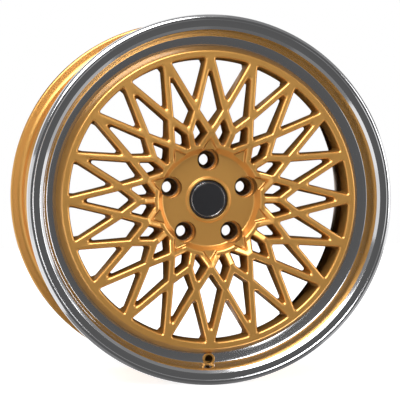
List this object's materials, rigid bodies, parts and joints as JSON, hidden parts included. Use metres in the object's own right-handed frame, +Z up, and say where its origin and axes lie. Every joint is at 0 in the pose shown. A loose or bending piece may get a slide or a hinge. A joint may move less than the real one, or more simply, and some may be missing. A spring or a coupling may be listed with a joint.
{
  "type": "modular forged mesh racing wheel",
  "caption": "Wide forged mesh racing wheel: polished stepped lip, gold cross-spoke centre and inner barrel, deep bolt pockets and a pull-off centre cap.",
  "frame": {"origin": "on the axle, halfway across the rim between its two outer flange faces", "axes": "+Y along the axle towards the vehicle, the outer face towards -Y, +Z up with the valve hole at the bottom"},
  "size_m": [0.5176, 0.241, 0.5176],
  "materials": {
    "polished_aluminium": "turned and polished",
    "gold_paint": "satin metallic",
    "bare_steel": "machined",
    "plated_steel": "zinc plated",
    "black_gloss": "gloss",
    "bright_trim": "bright",
    "seal_rubber": "matt",
    "ring_plastic": "moulded"
  },
  "bodies": {
    "wheel": {"outer_lip": "polished_aluminium", "inner_barrel": "gold_paint", "mesh_centre": "gold_paint", "bolt_seat_1": "bare_steel", "bolt_seat_2": "bare_steel", "bolt_seat_3": "bare_steel", "bolt_seat_4": "bare_steel", "bolt_seat_5": "bare_steel", "rim_seal_ring": "seal_rubber", "assembly_bolts": "plated_steel", "assembly_washers": "plated_steel", "thread_inserts": "bare_steel", "hub_centring_ring": "ring_plastic"},
    "cap": {"cap_shell": "black_gloss", "cap_bezel": "bright_trim", "cap_badge": "black_gloss", "cap_spring_ring": "bare_steel"}
  },
  "joints": [
    {"name": "cap_pull", "type": "slide", "parent": "wheel", "child": "cap", "axis": [0, -1, 0], "range_m": [0, 0.06], "deforming": ["cap_spring_ring"]}
  ]
}
